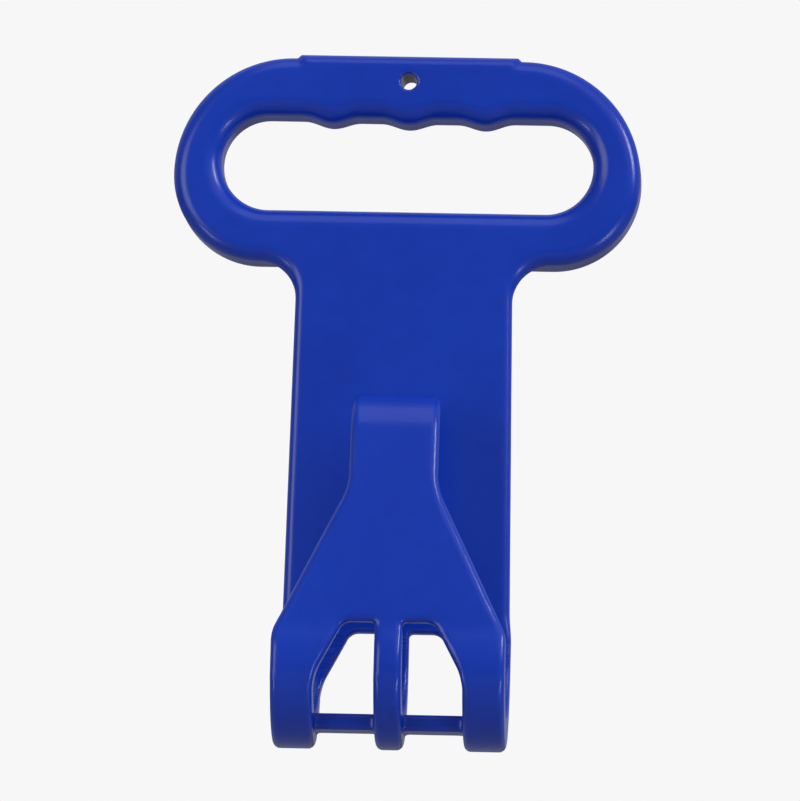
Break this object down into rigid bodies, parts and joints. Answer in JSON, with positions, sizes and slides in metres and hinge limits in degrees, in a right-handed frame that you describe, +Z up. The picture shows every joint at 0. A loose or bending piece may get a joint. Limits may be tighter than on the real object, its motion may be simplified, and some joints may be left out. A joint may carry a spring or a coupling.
{
  "type": "cable holder",
  "caption": "Hanging holder for a coiled cable, with an oval carry handle that has finger ridges, a flat back plate and a J-shaped hook with legs, windows and a curled tongue.",
  "frame": {"origin": "axis of the hanging hole in the grip, at the back plane of the handle, which is the side that faces a wall", "axes": "+Z up along the back plate towards the grip, -Y towards the side the hook opens to and +Y towards the wall, +X across the handle; the piece is symmetrical about X = 0"},
  "size_m": [0.1222, 0.0544, 0.1833],
  "materials": {
    "holder": "satin moulded, royal blue through the whole piece"
  },
  "bodies": {
    "root": {"cable_holder": "holder"}
  },
  "joints": []
}
